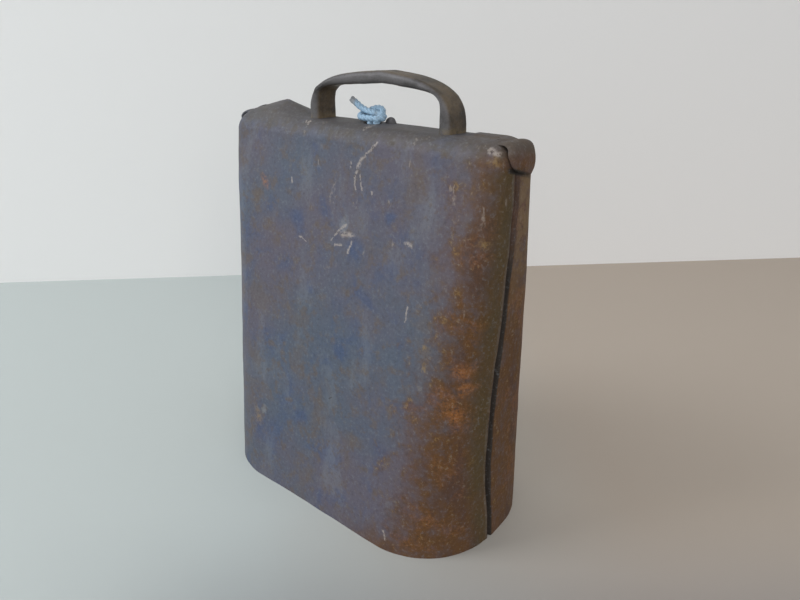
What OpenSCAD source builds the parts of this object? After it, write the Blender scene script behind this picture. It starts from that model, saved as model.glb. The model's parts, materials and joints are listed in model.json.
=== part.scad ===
// A folded-sheet cowbell with a forged strap handle and a clapper that hangs on a cord.
// X runs along the long side of the mouth, Y through the two broad faces, +Z up.
// The origin is on the plane of the mouth rim, in the middle of the mouth.
// One sheet is folded over the crown. Its front panel laps over the back panel at both narrow ends,
// brazed there, and the spare corners of the fold are hammered down as an ear over each end.

/* [Bell] */
// Height of the crown above the mouth rim
crown_height = 210; // [175:1:260]
// Length of the mouth, along X
mouth_length = 181; // [160:1:220]
// Depth of the mouth, along Y
mouth_depth = 101; // [92:1:122]
// Plan radius of the corners of the mouth
mouth_corner = 44; // [32:0.5:45]
// Length of the crown, along X
crown_length = 177; // [155:1:215]
// Width of the flat along the crown, between its two folds
crown_flat = 13; // [12:0.5:20]
// Outside radius of the folds along the crown
fold_radius = 10; // [8:0.5:13]
// Thickness of the sheet
sheet = 1.6; // [1.2:0.1:2.4]

/* [Side seams] */
// Width of the lap inside each seam
lap_width = 14; // [9:0.5:20]
// Gap between the lapped layers, filled with braze
lap_gap = 0.6; // [0.4:0.1:1]
// Open groove between the front panel's edge and the step of the back panel
seam_groove = 1.2; // [0.6:0.1:2]
// Place of the seam along Y at the mouth
seam_mouth_y = -9; // [-12:0.5:-4]
// Place of the seam along Y where it bows most
seam_bow_y = -14; // [-18:0.5:-6]
// Height of that bow above the mouth
seam_bow_height = 50; // [35:1:80]
// Place of the seam along Y under the ear
seam_top_y = -4.5; // [-7:0.5:-2]

/* [Ears and dents] */
// Height of the folded ear, down from the crown
ear_height = 13; // [9:0.5:18]
// How far the ear stands out of the narrow end
ear_proud = 4; // [2:0.25:6]
// Width of the ear at the crown, along Y
ear_width = 26; // [22:0.5:29]
// Width of the ear at its lower end, along Y
ear_tip_width = 17; // [12:0.5:24]
// How far each ear sits off the middle, towards the front at the right end and the back at the left
ear_shift = 3.5; // [0:0.5:4]
// Height of the buckled hump beside the handle
hump_height = 7.5; // [3:0.5:10]
// Gap along X between the hump and the handle
hump_to_handle = 4; // [2:0.5:10]
// Length of the hump, along X
hump_length = 48; // [34:1:52]

/* [Handle] */
// Outside width of the handle, along X
handle_width = 88.5; // [75:0.5:96]
// Height of the handle above the crown
handle_height = 25.5; // [20:0.5:40]
// Offset of the handle from the middle of the crown
handle_x = 11; // [4:0.5:14]
// Width of the handle's strap, along Y
strap_width = 13.8; // [10:0.2:18]
// Thickness of the handle's strap
strap_thickness = 6; // [4:0.25:8]
// Width of each foot's tenon, along Y
tenon_width = 8; // [6:0.25:9]
// Thickness of each foot's tenon, along X
tenon_thickness = 3.4; // [2.5:0.1:3.8]
// Clearance on each side of a tenon in its slot
tenon_clearance = 0.1; // [0.05:0.05:0.3]
// Thickness of the washer under each foot
washer_thickness = 1.5; // [1:0.1:2.5]
// Thickness of the peened head under each washer
peen_height = 2; // [1:0.25:3]

/* [Clapper] */
// Place of the cord hole along X
cord_x = 4; // [-2:0.5:6]
// Diameter of the cord hole
cord_hole = 9.5; // [8:0.25:10.5]
// Diameter of the cord
cord_diameter = 3; // [2.5:0.1:3.5]
// Diameter of the clapper's rod
rod_diameter = 7.2; // [6:0.2:7.6]
// Diameter of the hole in the clapper's eye
eye_hole = 10; // [9.5:0.25:13]
// Length from the bar of the eye to the middle of the ball
clapper_length = 116; // [90:1:120]
// Diameter of the ball
ball_diameter = 26; // [20:0.5:30]
// Radial clearance of the rod in the ball
ball_clearance = 0.05; // [0.02:0.01:0.1]

/* [Hidden] */

eps = 0.01;
round_steps = 64;           // facets of the round mouth corners
fold_steps = 32;            // facets of the balls that shape the folds
rim_trim = 2;               // the forms start this far below the rim and are cut flat at it
left = -1;
right = 1;
crown_depth = crown_flat + 2 * fold_radius;     // at the start of the folds
inner_face = crown_height - sheet;              // underside of the crown
ear_bottom = crown_height - ear_height;
ear_edge = fold_radius / 2;                     // rounding of the ear's outer edges
hump_ball = fold_radius / 2;                    // radius of the balls that shape the hump
hump_width = 19;
hump_shoulder = 0.62;                           // place of the hump's peak along its length
handle_left = handle_x - handle_width / 2;
foot_inset = strap_thickness / 2;
washer_length = 12;
washer_width = crown_flat + 1;
peen_spread = 1.8;                              // how far the peened head covers the washer
braze_skin = 0.05;                              // play left between the braze and each layer
step_set_back = 0.3;                            // from the groove's edge to the wall of the step
sink = 0.3;                                     // the ears and the hump's ends start below the crown
burr_x = 10;                                    // from the cord hole to the lip beside it
burr_size = [4, 3.5, 4.2];
knot_size = [8.8, 5.6, 3.9];
knot_x = -1.5;                                  // middle of the knot, from the hole
eye_bar_drop = 42;                              // from the crown to the bar of the clapper's eye
eye_bar_z = crown_height - eye_bar_drop;
eye_radius = (eye_hole + rod_diameter) / 2;     // middle of the eye's ring
ball_z = eye_bar_z - clapper_length;

// One side of the doubled cord, from the hole down and half round the bight, as [x, z] from the hole.
cord_side = [[1.7, -1.8], [1.9, -6], [2.6, -14], [3.8, -22], [5, -30], [5.8, -37],
             [6, -42], [5.2, -45], [3, -47.2]];
cord_bight = [[0, -48]];
// The cut end of the cord above the knot, as [x, y, z] from the hole.
cord_tail = [[-4, 0, 5], [-8, 0.5, 8.4], [-12, 1, 10], [-16, 1.5, 11.4]];

function mirrored(points) =
    [for (i = [len(points) - 1 : -1 : 0]) [-points[i][0], points[i][1]]];
function upright(points) = [for (p = points) [p[0], 0, p[1]]];

// Point of a superellipse arch at a given angle; a higher power makes squarer shoulders.
function arch_point(angle, half_width, height, power) =
    [half_width * sign(cos(angle)) * pow(abs(cos(angle)), 2 / power),
     height * pow(abs(sin(angle)), 2 / power)];
function arch(half_width, height, power, steps = 48) =
    [for (i = [0 : steps]) arch_point(180 * i / steps, half_width, height, power)];

// Sweep of a round cord along a list of points.
function unit(v) = v / norm(v);
function along(path, i) =
    unit(path[min(i + 1, len(path) - 1)] - path[max(i - 1, 0)]);
function ring(path, i, radius, sides) =
    let (t = along(path, i), side = [0, 1, 0] - t * t[1], n = unit(side), b = cross(t, n))
    [for (k = [0 : sides - 1])
        path[i] + radius * (cos(360 * k / sides) * n + sin(360 * k / sides) * b)];

module tube(path, diameter, sides = 8) {
    last = len(path) - 1;
    points = [for (i = [0 : last]) each ring(path, i, diameter / 2, sides)];
    walls = [for (i = [0 : last - 1], k = [0 : sides - 1])
        [i * sides + k, (i + 1) * sides + k,
         (i + 1) * sides + (k + 1) % sides, i * sides + (k + 1) % sides]];
    start_cap = [[for (k = [0 : sides - 1]) k]];
    end_cap = [[for (k = [sides - 1 : -1 : 0]) last * sides + k]];
    polyhedron(points, concat(walls, start_cap, end_cap));
}

// Ball whose flat poles lie exactly at its radius, so that the crown comes out at its true height.
module fold_ball(radius) {
    sphere(radius / cos(180 / fold_steps), $fn = fold_steps);
}

// The smooth body of the bell, shrunk by inset on every side.
module bell_form(inset) {
    hull() {
        for (x = [-1, 1], y = [-1, 1]) {
            translate([x * (mouth_length / 2 - mouth_corner),
                       y * (mouth_depth / 2 - mouth_corner), -rim_trim])
                cylinder(r = mouth_corner - inset, h = eps, $fn = round_steps);
            translate([x * (crown_length / 2 - fold_radius),
                       y * (crown_depth / 2 - fold_radius), crown_height - fold_radius])
                fold_ball(fold_radius - inset);
        }
    }
}

// The buckled hump: a low ridge, gentle towards the narrow end and steep towards the handle.
module hump_form(inset) {
    start = handle_left - hump_to_handle - hump_length;
    base_z = crown_height - hump_ball;
    hull() {
        for (place = [[0, -sink], [hump_shoulder, hump_height], [1, -sink]], y = [-1, 1]) {
            x = start + hump_ball + place[0] * (hump_length - 2 * hump_ball);
            translate([x, y * (hump_width / 2 - hump_ball), base_z + place[1]])
                fold_ball(hump_ball - inset);
        }
    }
}

module sheet_body(inset) {
    bell_form(inset);
    hump_form(inset);
}

// Slab that follows the seam line at one narrow end, between two offsets along Y.
module seam_slab(end, from_y, to_y) {
    line = [[seam_mouth_y, -rim_trim], [seam_bow_y, seam_bow_height],
            [seam_top_y, ear_bottom - ear_edge], [seam_top_y, ear_bottom + ear_edge]];
    near = [for (p = line) p + [from_y, 0]];
    far = [for (i = [len(line) - 1 : -1 : 0]) line[i] + [to_y, 0]];
    reach = mouth_length / 4;
    translate([end > 0 ? reach : -reach - mouth_length, 0, 0])
        rotate([90, 0, 90]) linear_extrude(mouth_length) polygon(concat(near, far));
}

// Edge of the back panel: it steps inwards beside the groove and runs on under the front panel.
module tucked_edge(end) {
    outer = sheet + lap_gap;
    difference() {
        union() {
            intersection() {
                bell_form(outer);
                seam_slab(end, -lap_width, seam_groove + sheet);
            }
            intersection() {
                bell_form(sheet / 2);
                seam_slab(end, seam_groove + step_set_back, seam_groove + sheet + step_set_back);
            }
        }
        bell_form(outer + sheet);
    }
}

// Corner of the fold, hammered down flat over the narrow end.
module ear(end) {
    outer_x = crown_length / 2 + ear_proud - ear_edge;
    inner_x = outer_x - ear_edge;
    top_z = crown_height - ear_edge - sink;
    top_y = ear_width / 2 - ear_edge;
    tip_y = ear_tip_width / 2 - ear_edge;
    difference() {
        hull() translate([0, -end * ear_shift, 0]) {
            for (y = [-1, 1]) {
                translate([end * outer_x, y * top_y, top_z]) fold_ball(ear_edge);
                translate([end * inner_x, y * top_y, top_z]) fold_ball(ear_edge);
                translate([end * outer_x, y * tip_y, ear_bottom + ear_edge]) fold_ball(ear_edge);
            }
        }
        bell_form(sheet / 2);
    }
}

// Lip of metal pushed up beside the cord hole.
module burr() {
    translate([cord_x + burr_x, 0, crown_height - sheet / 2]) scale(burr_size) {
        intersection() {
            sphere(1, $fn = fold_steps);
            translate([-1, -1, 0]) cube(2);
        }
    }
}

function foot_x(end) = handle_x + end * (handle_width / 2 - foot_inset);

module tenon(end, clearance, bottom, top) {
    size = [tenon_thickness + 2 * clearance, tenon_width + 2 * clearance, top - bottom];
    translate([foot_x(end) - size[0] / 2, -size[1] / 2, bottom]) cube(size);
}

module bell_shell() {
    color("#5b5652") difference() {
        union() {
            difference() {
                sheet_body(0);
                sheet_body(sheet);
                for (end = [left, right]) seam_slab(end, 0, seam_groove);
            }
            for (end = [left, right]) {
                ear(end);
                tucked_edge(end);
            }
            burr();
        }
        translate([-mouth_length, -mouth_depth, -2 * rim_trim])
            cube([2 * mouth_length, 2 * mouth_depth, 2 * rim_trim]);
        translate([cord_x, 0, crown_height - 2 * sheet]) cylinder(d = cord_hole, h = 4 * sheet);
        for (end = [left, right])
            tenon(end, tenon_clearance, inner_face - sheet, crown_height + sheet);
    }
}

module seam_braze(end) {
    color("#a98a4a") intersection() {
        difference() {
            bell_form(sheet + braze_skin);
            bell_form(sheet + lap_gap - braze_skin);
        }
        seam_slab(end, -lap_width, -sheet);
        translate([-mouth_length, -mouth_depth, 0])
            cube([2 * mouth_length, 2 * mouth_depth, ear_bottom]);
    }
}

// Forged strap bent to an arch, with a tenon on each foot that is peened over its washer.
module handle() {
    outer = arch(handle_width / 2, handle_height, 2.8);
    inner = arch(handle_width / 2 - strap_thickness, handle_height - strap_thickness + 0.5, 4.2);
    peen_top = inner_face - washer_thickness;
    color("#4a423c") {
        translate([handle_x, strap_width / 2, crown_height]) rotate([90, 0, 0])
            linear_extrude(strap_width) difference() {
                polygon(outer);
                polygon(inner);
            }
        for (end = [left, right]) {
            tenon(end, 0, peen_top - peen_height / 2, crown_height + strap_thickness);
            tenon(end, peen_spread, peen_top - peen_height, peen_top);
        }
    }
}

module handle_washer(end) {
    color("#6b6058") difference() {
        translate([foot_x(end) - washer_length / 2, -washer_width / 2, inner_face - washer_thickness])
            cube([washer_length, washer_width, washer_thickness]);
        tenon(end, tenon_clearance, inner_face - 2 * washer_thickness, crown_height);
    }
}

// Knot that keeps the cord from slipping through the crown, with its cut end.
module cord_knot() {
    color("#7fa3c4") translate([cord_x, 0, crown_height]) {
        translate([knot_x, 0, knot_size[2] + 0.3]) scale(knot_size) sphere(1, $fn = fold_steps);
        tube(cord_tail, cord_diameter);
    }
}

// Doubled cord from the hole to the clapper's eye.
module cord_loop() {
    path = upright(concat(cord_side, cord_bight, mirrored(cord_side)));
    color("#7fa3c4") translate([cord_x, 0, crown_height]) tube(path, cord_diameter);
}

// Rod with an eye bent at its top; its lower end is riveted through the ball.
module clapper_shank() {
    rod_top = eye_bar_z - 2 * eye_radius;
    rivet_z = ball_z - ball_diameter / 2;
    color("#4a423c") translate([cord_x, 0, 0]) {
        translate([0, 0, eye_bar_z - eye_radius]) rotate([0, 90, 0])
            rotate_extrude($fn = round_steps)
                translate([eye_radius, 0]) circle(d = rod_diameter, $fn = fold_steps);
        translate([0, 0, rivet_z]) cylinder(d = rod_diameter, h = rod_top - rivet_z, $fn = fold_steps);
        translate([0, 0, rivet_z - peen_height / 2])
            cylinder(d = rod_diameter + peen_spread, h = peen_height / 2, $fn = fold_steps);
    }
}

module clapper_ball() {
    color("#544a42") translate([cord_x, 0, ball_z]) difference() {
        sphere(d = ball_diameter, $fn = round_steps);
        cylinder(d = rod_diameter + 2 * ball_clearance, h = 2 * ball_diameter, center = true,
                 $fn = fold_steps);
    }
}

bell_shell();
seam_braze(left);  // seam_braze_left
seam_braze(right);  // seam_braze_right
handle();
handle_washer(left);  // handle_washer_left
handle_washer(right);  // handle_washer_right
cord_knot();
cord_loop();
clapper_shank();
clapper_ball();
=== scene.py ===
import json
import math

import bmesh
import bpy
import numpy as np
from mathutils import Matrix, Vector, noise


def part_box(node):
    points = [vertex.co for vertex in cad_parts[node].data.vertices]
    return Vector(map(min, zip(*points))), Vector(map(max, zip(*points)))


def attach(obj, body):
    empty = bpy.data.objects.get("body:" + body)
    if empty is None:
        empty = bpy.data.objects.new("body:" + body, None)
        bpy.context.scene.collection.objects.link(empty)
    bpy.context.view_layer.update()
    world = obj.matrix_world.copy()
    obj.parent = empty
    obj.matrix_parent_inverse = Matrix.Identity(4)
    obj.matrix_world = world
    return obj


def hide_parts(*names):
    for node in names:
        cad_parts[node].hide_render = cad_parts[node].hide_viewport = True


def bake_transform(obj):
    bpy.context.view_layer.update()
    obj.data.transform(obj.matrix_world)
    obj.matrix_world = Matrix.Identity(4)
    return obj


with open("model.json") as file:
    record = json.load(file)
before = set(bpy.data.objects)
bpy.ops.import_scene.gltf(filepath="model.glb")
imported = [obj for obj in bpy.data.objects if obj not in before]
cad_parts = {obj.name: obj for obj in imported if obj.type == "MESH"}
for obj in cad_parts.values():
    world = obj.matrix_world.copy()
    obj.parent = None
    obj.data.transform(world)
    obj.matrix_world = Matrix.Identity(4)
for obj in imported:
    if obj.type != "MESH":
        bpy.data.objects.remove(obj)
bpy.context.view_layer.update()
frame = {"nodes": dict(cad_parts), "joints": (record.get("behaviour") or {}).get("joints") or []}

mm = 0.001

# places read from the frame
washerLow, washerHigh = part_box("handle_washer_left")
handleLow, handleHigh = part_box("handle")
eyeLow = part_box("clapper_shank")[0]
ballLow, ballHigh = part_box("clapper_ball")
swing = {joint["name"]: joint for joint in frame["joints"]}
sheetThickness = 1.6 * mm
crownTop = washerHigh.z + sheetThickness
cordHole = Vector((swing["cord_swing"]["pos_m"][0], 0, crownTop))
eyeBar = Vector(swing["clapper_swing"]["pos_m"])


def placed(name, data):
    made = bpy.data.objects.new(name, data)
    bpy.context.scene.collection.objects.link(made)
    return made


# ---- camera

camera = {
    "place": (223.6 * mm, -251.4 * mm, 255.4 * mm),
    "yaw": 38.7,        # degrees to the left of +Y
    "pitch": 23.01,     # degrees down
    "roll": 0.29,
    "lens": 29.16,
}


def makeCamera():
    yaw, pitch, roll = (math.radians(camera[k]) for k in ("yaw", "pitch", "roll"))
    ahead = Vector((-math.sin(yaw) * math.cos(pitch), math.cos(yaw) * math.cos(pitch), -math.sin(pitch)))
    level = Vector((math.cos(yaw), math.sin(yaw), 0))
    upright = level.cross(ahead)
    right = level * math.cos(roll) + upright * math.sin(roll)
    up = right.cross(ahead)
    lens = bpy.data.cameras.new("camera")
    lens.lens = camera["lens"]
    lens.sensor_width = 36
    lens.clip_start = 0.01
    holder = placed("camera", lens)
    turn = Matrix((right, up, -ahead)).transposed().to_4x4()
    holder.matrix_world = Matrix.Translation(camera["place"]) @ turn
    bpy.context.scene.camera = holder


makeCamera()
print("camera ready")


# ---- shader maths: a wire is one output socket that can be used in an expression

class Wire:
    def __init__(self, bench, socket):
        self.bench = bench
        self.socket = socket

    def calc(self, operation, *others):
        return self.bench.make("ShaderNodeMath", {"operation": operation}, dict(enumerate([self, *others])))

    def __add__(self, other):
        return self.calc("ADD", other)

    def __mul__(self, other):
        return self.calc("MULTIPLY", other)

    def __sub__(self, other):
        return self.calc("SUBTRACT", other)

    def __truediv__(self, other):
        return self.calc("DIVIDE", other)

    def __pow__(self, other):
        return self.calc("POWER", other)

    def __rsub__(self, other):
        return self.bench.make("ShaderNodeMath", {"operation": "SUBTRACT"}, {0: other, 1: self})

    __radd__ = __add__
    __rmul__ = __mul__

    def least(self, other):
        return self.calc("MINIMUM", other)

    def most(self, other):
        return self.calc("MAXIMUM", other)

    def step(self, low, high, start=0.0, end=1.0):
        settings = {"interpolation_type": "SMOOTHSTEP"}
        values = {"Value": self, "From Min": low, "From Max": high, "To Min": start, "To Max": end}
        return self.bench.make("ShaderNodeMapRange", settings, values)


class Bench:
    def __init__(self, name):
        self.material = bpy.data.materials.new(name)
        self.material.use_nodes = True
        self.tree = self.material.node_tree
        self.tree.nodes.clear()
        self.place = self.make("ShaderNodeTexCoord", out="Object")
        apart = self.make("ShaderNodeSeparateXYZ", inputs={0: self.place}, node=True)
        self.x, self.y, self.z = (Wire(self, apart.outputs[k]) for k in range(3))

    def make(self, kind, settings=None, inputs=None, out=0, node=False):
        made = self.tree.nodes.new(kind)
        for key, value in (settings or {}).items():
            setattr(made, key, value)
        for key, value in (inputs or {}).items():
            if isinstance(value, Wire):
                self.tree.links.new(value.socket, made.inputs[key])
            else:
                made.inputs[key].default_value = value
        return made if node else Wire(self, made.outputs[out])

    def noise(self, scale, detail=4.0, rough=0.55, place=None, distortion=0.0):
        values = {"Vector": place or self.place, "Scale": scale, "Detail": detail,
                  "Roughness": rough, "Distortion": distortion}
        return self.make("ShaderNodeTexNoise", {"noise_dimensions": "3D"}, values)

    def stretched(self, sx, sy, sz):
        return self.make("ShaderNodeMapping", inputs={"Vector": self.place, "Scale": (sx, sy, sz)})

    def curve(self, value, points, bottom):
        # straight lines through points, for a value from 0 to 1, lifted by bottom
        made = self.make("ShaderNodeFloatCurve", inputs={"Value": value}, node=True)
        line = made.mapping.curves[0]
        while len(line.points) < len(points):
            line.points.new(0.5, 0.5)
        for spot, (across, up) in zip(line.points, points):
            spot.location = (across, up)
            spot.handle_type = "VECTOR"
        made.mapping.update()
        return Wire(self, made.outputs[0]) + bottom

    def mix(self, amount, first, second, blend="MIX"):
        made = self.make("ShaderNodeMix", {"data_type": "RGBA", "blend_type": blend}, node=True)
        for slot, value in ((0, amount), (6, first), (7, second)):
            if isinstance(value, Wire):
                self.tree.links.new(value.socket, made.inputs[slot])
            else:
                made.inputs[slot].default_value = value if slot == 0 else (*value, 1)
        return Wire(self, made.outputs[2])

    def bump(self, height, depth, strength=1.0, over=None):
        values = {"Height": height, "Distance": depth, "Strength": strength}
        if over is not None:
            values["Normal"] = over
        return self.make("ShaderNodeBump", inputs=values, out="Normal")

    def finish(self, **values):
        shader = self.make("ShaderNodeBsdfPrincipled",
                           inputs={key.replace("_", " "): value for key, value in values.items()})
        self.make("ShaderNodeOutputMaterial", inputs={"Surface": shader}, node=True)
        return self.material


# ---- cord: one length from its cut end over the crown, through the hole, round the eye and back up

cord = {
    "diameter": 3 * mm,
    "strands": 3,
    "strandRadius": 1.08 * mm,
    "strandOffset": 0.62 * mm,
    "pitch": 8 * mm,            # length of one turn of the twist
    "step": 0.7 * mm,
    "sides": 10,
}
# points from the top of the cord hole, in millimetres
cordTail = [(-16.8, 3.4, 10.2), (-13.4, 3, 8.6), (-9.8, 2.4, 6.9), (-6, 2, 5.7), (-2.6, 1.8, 5)]
cordWrap = [(1.2, 2.6, 4.3), (4.4, 3.4, 3.4), (5.2, 1.6, 2.6), (2.8, 0, 2.3), (-2, -0.4, 2.2),
            (-7.6, 0, 2.4), (-10, 2.8, 3.1), (-7.6, 5.6, 4.6), (-3.2, 6.4, 6.4), (1.6, 5.4, 6.4),
            (4, 3, 4.6), (3.4, 0.6, 2.2)]
cordSide = [(1.7, 0, -1.8), (1.9, 0, -6), (2.6, 0, -14), (3.8, 0, -22), (5, 0, -30), (5.8, 0, -37),
            (6, 0, -42), (5.2, 0, -45), (3, 0, -47.2)]
cordBight = [(0, 0, -48)]
cordShortEnd = [(-2.4, 0.8, 1.6), (-4.4, 3.2, 1.7), (-7, 6, 1.8), (-9, 9.4, 1.6)]


def cordPath():
    mirrored = [(-x, y, z) for x, y, z in reversed(cordSide)]
    points = cordTail + cordWrap + cordSide + cordBight + mirrored + cordShortEnd
    return [cordHole + Vector(p) * mm for p in points]


def runAlong(points):
    return np.r_[0, np.cumsum(np.linalg.norm(np.diff(points, axis=0), axis=1))]


def pointsAt(even, run, points):
    return np.stack([np.interp(even, run, line) for line in points.T], 1)


def smoothPath(points, step, between=24):
    # a curve through every point, evenly spaced
    dense = []
    count = len(points)
    for i in range(count - 1):
        before = points[max(i - 1, 0)]
        a, b = points[i], points[i + 1]
        after = points[min(i + 2, count - 1)]
        for k in range(between):
            t = k / between
            spot = 2 * a + (b - before) * t
            spot += (2 * before - 5 * a + 4 * b - after) * t ** 2
            spot += (3 * a - before - 3 * b + after) * t ** 3
            dense.append(0.5 * spot)
    dense.append(points[-1])
    dense = np.array([tuple(p) for p in dense])
    run = runAlong(dense)
    even = np.linspace(0, run[-1], max(2, round(run[-1] / step) + 1))
    return pointsAt(even, run, dense), run[-1]


class Nodes:
    # builds a geometry tree: sizes are named inputs
    def __init__(self, name, inputs):
        self.tree = bpy.data.node_groups.new(name, "GeometryNodeTree")
        self.tree.interface.new_socket("Geometry", in_out="INPUT", socket_type="NodeSocketGeometry")
        self.sockets = {}
        for label, (kind, value) in inputs.items():
            made = self.tree.interface.new_socket(label, in_out="INPUT", socket_type=kind)
            if value is not None:
                made.default_value = value
            self.sockets[label] = made.identifier
        self.tree.interface.new_socket("Geometry", in_out="OUTPUT", socket_type="NodeSocketGeometry")
        self.start = self.tree.nodes.new("NodeGroupInput")
        self.end = self.tree.nodes.new("NodeGroupOutput")

    def add(self, kind, settings=None, inputs=None, out=0):
        made = self.tree.nodes.new(kind)
        for key, value in (settings or {}).items():
            setattr(made, key, value)
        for key, value in (inputs or {}).items():
            if isinstance(value, bpy.types.NodeSocket):
                self.tree.links.new(value, made.inputs[key])
            else:
                made.inputs[key].default_value = value
        return made.outputs[out]

    def calc(self, operation, *values):
        return self.add("ShaderNodeMath", {"operation": operation}, dict(enumerate(values)))

    def vector(self, operation, inputs):
        return self.add("ShaderNodeVectorMath", {"operation": operation}, inputs)

    def bake(self, thing, values):
        # the finished geometry as a plain mesh, with the modifier gone
        modifier = thing.modifiers.new("shape", "NODES")
        modifier.node_group = self.tree
        for label, value in values.items():
            modifier[self.sockets[label]] = value
        ready = thing.evaluated_get(bpy.context.evaluated_depsgraph_get())
        mesh = bpy.data.meshes.new_from_object(ready)
        name = thing.name
        bpy.data.objects.remove(thing)
        return placed(name, mesh)


def twistTree(count):
    tree = Nodes("twisted cord", {
        "Strand Radius": ("NodeSocketFloat", cord["strandRadius"]),
        "Strand Offset": ("NodeSocketFloat", cord["strandOffset"]),
        "Pitch": ("NodeSocketFloat", cord["pitch"]),
        "Sides": ("NodeSocketInt", cord["sides"]),
        "Finish": ("NodeSocketMaterial", None),
    })
    g = tree.start.outputs
    line = tree.add("GeometryNodeSetCurveNormal", {"mode": "MINIMUM_TWIST"}, {"Curve": g["Geometry"]})
    run = tree.add("GeometryNodeSplineParameter", out="Length")
    normal = tree.add("GeometryNodeInputNormal")
    tangent = tree.add("GeometryNodeInputTangent")
    across = tree.vector("CROSS_PRODUCT", {0: tangent, 1: normal})
    profile = tree.add("GeometryNodeCurvePrimitiveCircle",
                       inputs={"Resolution": g["Sides"], "Radius": g["Strand Radius"]})
    turn = tree.calc("MULTIPLY", tree.calc("DIVIDE", run, g["Pitch"]), math.tau)
    joined = tree.tree.nodes.new("GeometryNodeJoinGeometry")
    for k in range(count):
        angle = tree.calc("ADD", turn, math.tau * k / count)
        along = tree.vector("SCALE", {0: normal, "Scale": tree.calc("COSINE", angle)})
        aside = tree.vector("SCALE", {0: across, "Scale": tree.calc("SINE", angle)})
        out = tree.vector("SCALE", {0: tree.vector("ADD", {0: along, 1: aside}),
                                    "Scale": g["Strand Offset"]})
        moved = tree.add("GeometryNodeSetPosition", inputs={"Geometry": line, "Offset": out})
        strand = tree.add("GeometryNodeCurveToMesh",
                          inputs={"Curve": moved, "Profile Curve": profile, "Fill Caps": True})
        tree.tree.links.new(strand, joined.inputs[0])
    real = tree.add("GeometryNodeRealizeInstances", inputs={0: joined.outputs[0]})
    done = tree.add("GeometryNodeSetMaterial", inputs={"Geometry": real, "Material": g["Finish"]})
    tree.tree.links.new(done, tree.end.inputs[0])
    return tree


def cordFibre():
    look = {"shade": (0.15, 0.25, 0.36), "light": (0.33, 0.48, 0.62), "dirtAndShade": (0.17, 0.17, 0.17),
            "cut": (0.3, 0.28, 0.27)}
    b = Bench("cordFibre")
    fibres = b.noise(2200, 3, 0.6, b.stretched(1, 1, 0.35))
    patches = b.noise(260, 3, 0.5)
    tone = b.mix(fibres.step(0.25, 0.6), look["shade"], look["light"])
    worn = b.mix(patches.step(0.5, 0.72) * 0.45, tone, look["dirtAndShade"])
    tip = b.x.step(cordHole.x - 12 * mm, cordHole.x - 15 * mm)
    worn = b.mix(tip * 0.8, worn, look["cut"])
    # painted shade: the cord turns darker the further it hangs down inside the bell
    insideShade = b.z.step(crownTop - 4 * mm, crownTop - 60 * mm) * 0.35
    return b.finish(Base_Color=b.mix(insideShade, worn, look["dirtAndShade"]), Roughness=0.5,
                    Normal=b.bump(fibres, 0.2 * mm, 0.5), Specular_IOR_Level=0.5)


def makeCord(finish):
    points, length = smoothPath(cordPath(), cord["step"])
    line = bpy.data.curves.new("clapper_cord", "CURVE")
    line.dimensions = "3D"
    spline = line.splines.new("POLY")
    spline.points.add(len(points) - 1)
    spline.points.foreach_set("co", np.c_[points, np.ones(len(points))].ravel())
    holder = placed("clapper_cord", line)
    tree = twistTree(cord["strands"])
    piece = tree.bake(holder, {"Strand Radius": cord["strandRadius"], "Strand Offset": cord["strandOffset"],
                               "Pitch": cord["pitch"], "Sides": cord["sides"], "Finish": finish})
    for face in piece.data.polygons:
        face.use_smooth = True
    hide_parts("cord_knot", "cord_loop")
    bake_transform(piece)
    print("cord", round(length, 4), "m")


makeCord(cordFibre())


# ---- mesh helpers

def meshPiece(name, verts, faces, sharp=35, merge=0.02 * mm):
    mesh = bpy.data.meshes.new(name)
    mesh.from_pydata([tuple(v) for v in verts], [], faces)
    work = bmesh.new()
    work.from_mesh(mesh)
    bmesh.ops.remove_doubles(work, verts=work.verts, dist=merge)
    bmesh.ops.dissolve_degenerate(work, dist=merge / 4, edges=work.edges)
    bmesh.ops.recalc_face_normals(work, faces=work.faces)
    work.to_mesh(mesh)
    work.free()
    mesh.shade_smooth()
    mesh.set_sharp_from_angle(angle=math.radians(sharp))
    return placed(name, mesh)


def gridFaces(rows, columns, base=0, closed=False, flip=False):
    faces = []
    for i in range(rows - 1):
        for j in range(columns if closed else columns - 1):
            k = (j + 1) % columns
            quad = [base + i * columns + j, base + i * columns + k,
                    base + (i + 1) * columns + k, base + (i + 1) * columns + j]
            faces.append(quad[::-1] if flip else quad)
    return faces


def lumps(points, size, seed=0.0):
    # smooth unevenness between -1 and 1, the same for the same place and seed
    shift = Vector((seed * 13.7, seed * 7.3, seed * 3.1))
    return np.array([noise.noise(Vector(p) / size + shift) for p in points])


def joined(name, pieces):
    bpy.context.view_layer.update()
    first = pieces[0]
    with bpy.context.temp_override(active_object=first, selected_editable_objects=pieces):
        bpy.ops.object.join()
    first.name = name
    first.data.name = name
    return first


def smooth(t):
    t = np.clip(t, 0, 1)
    return t * t * (3 - 2 * t)


# ---- bell: one sheet folded over the crown, its front panel lapped over the back one at both ends

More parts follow.
